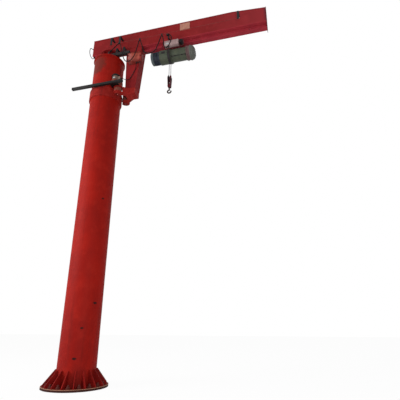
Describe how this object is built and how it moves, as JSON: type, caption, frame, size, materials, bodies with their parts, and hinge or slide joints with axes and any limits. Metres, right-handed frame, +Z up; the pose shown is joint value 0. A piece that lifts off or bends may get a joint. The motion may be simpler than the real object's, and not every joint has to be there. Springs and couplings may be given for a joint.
{
  "type": "column-mounted jib crane",
  "caption": "Tall round column with a slewing box-girder jib, a hanging leg with rollers that bear on the column, and a wire rope hoist on a trolley with hook block.",
  "frame": {"origin": "centre of the underside of the round base plate, on the column's axis", "axes": "+Z up along the column; +X along the jib towards its tip at rest; -Y is the side with the cable festoon"},
  "size_m": [4.65, 1.2, 8.115],
  "materials": {
    "column_red": "weathered red gloss paint",
    "band_red": "worn dark red paint with rubbed steel",
    "jib_red": "weathered red gloss paint",
    "track_red": "red paint worn to steel on the running surface",
    "dark_steel": "matt black paint with rust",
    "bare_steel": "turned and greased steel",
    "zinc": "dull galvanised steel",
    "wire": "laid steel wire rope",
    "cable_black": "black rubber sheath",
    "gearbox_ochre": "dusty ochre paint with rust",
    "motor_pale": "faded pale grey-green paint",
    "box_rust": "orange-brown weathered sheet steel",
    "hoist_green": "grey-green machine enamel",
    "motor_teal": "dark blue-green enamel",
    "block_red": "chipped red enamel",
    "hook_steel": "forged steel with light rust"
  },
  "bodies": {
    "column": {"base_plate": "column_red", "base_gussets": "column_red", "column_tube": "column_red", "roller_track_band": "band_red", "column_top_flange": "column_red", "pivot_pin": "bare_steel"},
    "jib": {"pivot_housing": "dark_steel", "girder_webs": "jib_red", "girder_top_plate": "jib_red", "girder_bottom_plate": "jib_red", "girder_back_plate": "jib_red", "girder_tip_plate": "dark_steel", "hoist_track": "track_red", "track_stops": "dark_steel", "leg_head_plate": "jib_red", "leg_side_plates": "jib_red", "leg_cross_plates": "jib_red", "carriage_plates": "jib_red", "carriage_walls": "jib_red", "roller_caps": "band_red", "slew_gearbox": "gearbox_ochre", "slew_motor": "motor_pale", "slew_motor_hood": "dark_steel", "outrigger_bar": "dark_steel", "cable_rest_bar": "dark_steel", "junction_box": "box_rust", "festoon_brackets": "zinc", "festoon_wire": "wire", "festoon_cable": "cable_black", "slew_cable": "cable_black", "rear_cable": "cable_black"},
    "near_roller": {"near_roller": "bare_steel"},
    "far_roller": {"far_roller": "bare_steel"},
    "carrier_inner": {"festoon_carrier_inner": "zinc"},
    "carrier_outer": {"festoon_carrier_outer": "zinc"},
    "trolley": {"trolley_sides": "motor_teal", "trolley_axles": "bare_steel", "trolley_saddles": "motor_teal", "travel_motor": "dark_steel", "control_box": "motor_pale", "tow_arm": "zinc", "hoist_motor": "motor_teal", "motor_casing": "hoist_green", "drum_casing": "hoist_green", "rope_guide": "hoist_green", "hoist_gearbox": "hoist_green", "rope_falls": "wire"},
    "wheel_near_back": {"wheel_near_back": "bare_steel"},
    "wheel_near_front": {"wheel_near_front": "bare_steel"},
    "wheel_far_back": {"wheel_far_back": "bare_steel"},
    "wheel_far_front": {"wheel_far_front": "bare_steel"},
    "hook_block": {"block_cheeks": "block_red", "block_sheave": "dark_steel"},
    "hook": {"lifting_hook": "hook_steel"}
  },
  "joints": [
    {"name": "jib_slew", "type": "hinge", "parent": "column", "child": "jib", "pos_m": [0, 0, 7.35], "axis": [0, 0, 1], "range_deg": [-150, 150]},
    {"name": "trolley_travel", "type": "slide", "parent": "jib", "child": "trolley", "axis": [1, 0, 0], "range_m": [-0.12, 1.6], "deforming": ["festoon_cable"]},
    {"name": "hook_lift", "type": "slide", "parent": "trolley", "child": "hook_block", "axis": [0, 0, 1], "range_m": [-5.6, 0.25], "deforming": ["rope_falls"]},
    {"name": "hook_swivel", "type": "hinge", "parent": "hook_block", "child": "hook", "pos_m": [1.645, 0, 6.325], "axis": [0, 0, 1], "continuous": true},
    {"name": "near_roller_spin", "type": "hinge", "parent": "jib", "child": "near_roller", "pos_m": [0.42693, -0.20823, 6.325], "axis": [0, 0, 1], "range_deg": [-662.96, 662.96]},
    {"name": "far_roller_spin", "type": "hinge", "parent": "jib", "child": "far_roller", "pos_m": [0.42693, 0.20823, 6.325], "axis": [0, 0, 1], "range_deg": [-662.96, 662.96]},
    {"name": "carrier_inner_slide", "type": "slide", "parent": "jib", "child": "carrier_inner", "axis": [1, 0, 0], "range_m": [-0.053, 0.643]},
    {"name": "carrier_outer_slide", "type": "slide", "parent": "jib", "child": "carrier_outer", "axis": [1, 0, 0], "range_m": [-0.12, 1.532]},
    {"name": "wheel_near_back_spin", "type": "hinge", "parent": "trolley", "child": "wheel_near_back", "pos_m": [1.63, -0.04, 7.5685], "axis": [0, 1, 0], "range_deg": [-142.51, 1838.46]},
    {"name": "wheel_near_front_spin", "type": "hinge", "parent": "trolley", "child": "wheel_near_front", "pos_m": [1.91, -0.04, 7.5685], "axis": [0, 1, 0], "range_deg": [-142.51, 1838.46]},
    {"name": "wheel_far_back_spin", "type": "hinge", "parent": "trolley", "child": "wheel_far_back", "pos_m": [1.63, 0.04, 7.5685], "axis": [0, 1, 0], "range_deg": [-142.51, 1838.46]},
    {"name": "wheel_far_front_spin", "type": "hinge", "parent": "trolley", "child": "wheel_far_front", "pos_m": [1.91, 0.04, 7.5685], "axis": [0, 1, 0], "range_deg": [-142.51, 1838.46]}
  ],
  "couplings": [
    {"joint": "near_roller_spin", "follows": "jib_slew", "ratio": 4.3864},
    {"joint": "far_roller_spin", "follows": "jib_slew", "ratio": 4.3864},
    {"joint": "carrier_inner_slide", "follows": "trolley_travel", "ratio": 0.3989},
    {"joint": "carrier_outer_slide", "follows": "trolley_travel", "ratio": 0.9545},
    {"joint": "wheel_near_back_spin", "follows": "trolley_travel", "rad_per_m": 20},
    {"joint": "wheel_near_front_spin", "follows": "trolley_travel", "rad_per_m": 20},
    {"joint": "wheel_far_back_spin", "follows": "trolley_travel", "rad_per_m": 20},
    {"joint": "wheel_far_front_spin", "follows": "trolley_travel", "rad_per_m": 20}
  ]
}
